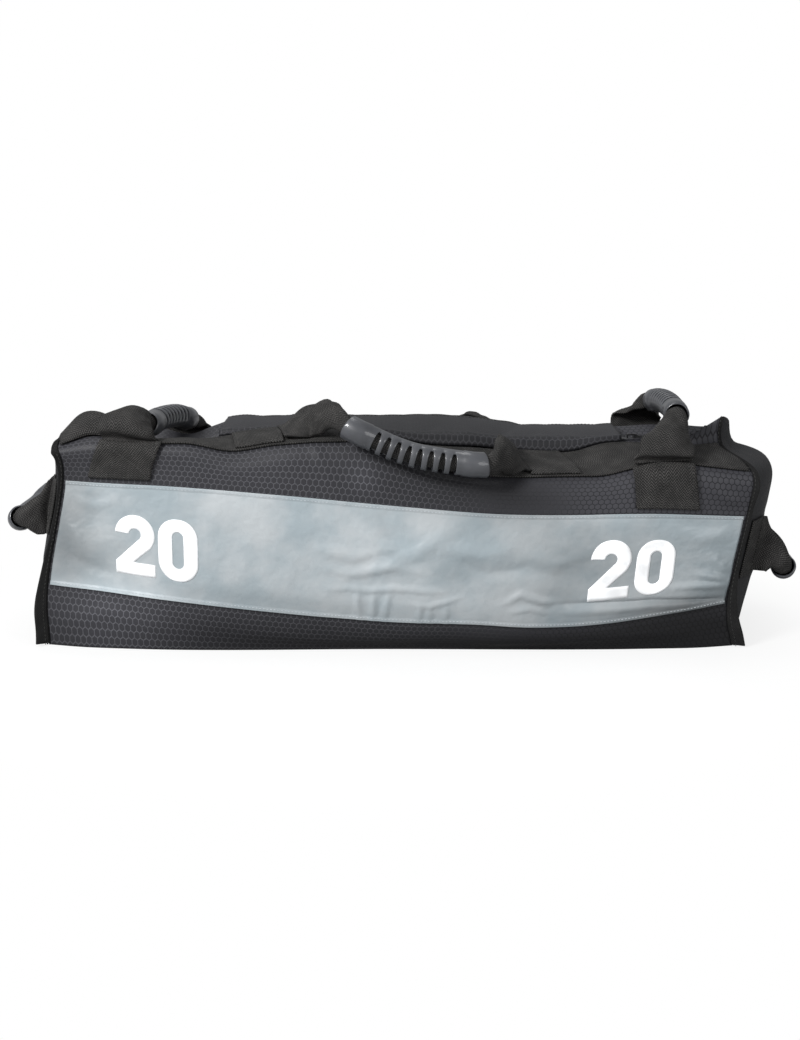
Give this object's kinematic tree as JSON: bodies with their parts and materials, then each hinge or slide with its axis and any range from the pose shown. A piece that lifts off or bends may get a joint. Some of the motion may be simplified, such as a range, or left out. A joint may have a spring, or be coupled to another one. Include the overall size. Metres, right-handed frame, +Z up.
{
  "type": "sandbag trainer",
  "caption": "Soft zipped duffel for weight training, filled with inner sandbags, with webbing handles in moulded split grips along its top, across its shoulders and on its ends.",
  "frame": {"origin": "middle of the bag's flat bottom, on the floor", "axes": "+X along the bag, to the right when its front is seen; the front, with the band in view, faces -Y; +Z up"},
  "size_m": [0.7126, 0.2631, 0.2164],
  "materials": {
    "hex_cloth": "dark charcoal polyester with a small embossed hexagon pattern, slight sheen",
    "plain_cloth": "plain black polyester",
    "grey_band": "blue-grey satin fabric with pale stitching and white numerals",
    "webbing": "black herringbone webbing, matt",
    "binding": "black binding tape",
    "grip_rubber": "dark grey moulded rubber, satin",
    "zip_tape": "black woven zip tape",
    "zip_coil": "black nylon coil",
    "coated_steel": "black enamelled metal",
    "hook_and_loop": "black hook and loop tape",
    "filler_cloth": "dark grey lining cloth",
    "sand": "dry sand"
  },
  "bodies": {
    "bag": {"front_panel": "hex_cloth", "back_panel": "hex_cloth", "left_end_panel": "plain_cloth", "right_end_panel": "plain_cloth", "base_panel": "plain_cloth", "front_band": "grey_band", "back_band": "grey_band", "front_long_strap": "webbing", "back_long_strap": "webbing", "left_front_binding": "binding", "left_back_binding": "binding", "right_front_binding": "binding", "right_back_binding": "binding", "front_handle_left_tail": "webbing", "front_handle_right_tail": "webbing", "back_handle_left_tail": "webbing", "back_handle_right_tail": "webbing", "left_cross_handle_front_tail": "webbing", "left_cross_handle_back_tail": "webbing", "right_cross_handle_front_tail": "webbing", "right_cross_handle_back_tail": "webbing", "left_end_handle_front_tail": "webbing", "left_end_handle_back_tail": "webbing", "right_end_handle_front_tail": "webbing", "right_end_handle_back_tail": "webbing", "zip_tape_front": "zip_tape", "zip_tape_back": "zip_tape", "zip_coil_front": "zip_coil", "zip_coil_back": "zip_coil", "zip_stop_left": "coated_steel", "zip_stop_right": "coated_steel", "zip_end_tab_left": "plain_cloth", "zip_end_tab_right": "plain_cloth", "flap_loop_strip": "hook_and_loop", "flap_seam_strip": "hook_and_loop", "filler_bag_1": "filler_cloth", "filler_bag_2": "filler_cloth", "filler_bag_3": "filler_cloth", "filler_bag_4": "filler_cloth", "sand_fill_1": "sand", "sand_fill_2": "sand", "sand_fill_3": "sand", "sand_fill_4": "sand"},
    "front_handle": {"front_handle_strap": "webbing", "front_handle_grip": "grip_rubber"},
    "back_handle": {"back_handle_strap": "webbing", "back_handle_grip": "grip_rubber"},
    "left_cross_handle": {"left_cross_handle_strap": "webbing", "left_cross_handle_grip": "grip_rubber"},
    "right_cross_handle": {"right_cross_handle_strap": "webbing", "right_cross_handle_grip": "grip_rubber"},
    "left_end_handle": {"left_end_handle_strap": "webbing", "left_end_handle_grip": "grip_rubber"},
    "right_end_handle": {"right_end_handle_strap": "webbing", "right_end_handle_grip": "grip_rubber"},
    "flap": {"zip_flap": "hex_cloth", "flap_hook_strip": "hook_and_loop"},
    "slider": {"zip_slider": "coated_steel"},
    "puller": {"zip_puller": "coated_steel"}
  },
  "joints": [
    {"name": "front_handle_swing", "type": "hinge", "parent": "bag", "child": "front_handle", "pos_m": [0.0112, -0.0714, 0.1754], "axis": [-1, 0, 0], "range_deg": [0, 110], "deforming": ["front_handle_strap"]},
    {"name": "back_handle_swing", "type": "hinge", "parent": "bag", "child": "back_handle", "pos_m": [0, 0.0719, 0.1679], "axis": [1, 0, 0], "range_deg": [0, 110], "deforming": ["back_handle_strap"]},
    {"name": "left_cross_handle_swing", "type": "hinge", "parent": "bag", "child": "left_cross_handle", "pos_m": [-0.2186, 0, 0.1895], "axis": [0, 1, 0], "range_deg": [-90, 0], "deforming": ["left_cross_handle_strap"]},
    {"name": "right_cross_handle_swing", "type": "hinge", "parent": "bag", "child": "right_cross_handle", "pos_m": [0.2379, 0, 0.1681], "axis": [0, 1, 0], "range_deg": [-60, 15], "deforming": ["right_cross_handle_strap"]},
    {"name": "left_end_handle_swing", "type": "hinge", "parent": "bag", "child": "left_end_handle", "pos_m": [-0.298, 0, 0.1218], "axis": [0, 1, 0], "range_deg": [0, 85], "deforming": ["left_end_handle_strap"]},
    {"name": "right_end_handle_swing", "type": "hinge", "parent": "bag", "child": "right_end_handle", "pos_m": [0.3238, 0, 0.0858], "axis": [0, -1, 0], "range_deg": [0, 70], "deforming": ["right_end_handle_strap"]},
    {"name": "flap_lift", "type": "hinge", "parent": "bag", "child": "flap", "pos_m": [0.02855, 0.036, 0.18666], "axis": [-1, 0, 0], "range_deg": [0, 100]},
    {"name": "zip_run", "type": "slide", "parent": "bag", "child": "slider", "axis": [-1, 0, 0], "range_m": [0, 0.45], "deforming": ["zip_coil_front", "zip_coil_back"]},
    {"name": "puller_swing", "type": "hinge", "parent": "slider", "child": "puller", "pos_m": [0.224, 0, 0.1723], "axis": [0, -1, 0], "range_deg": [0, 100]}
  ]
}
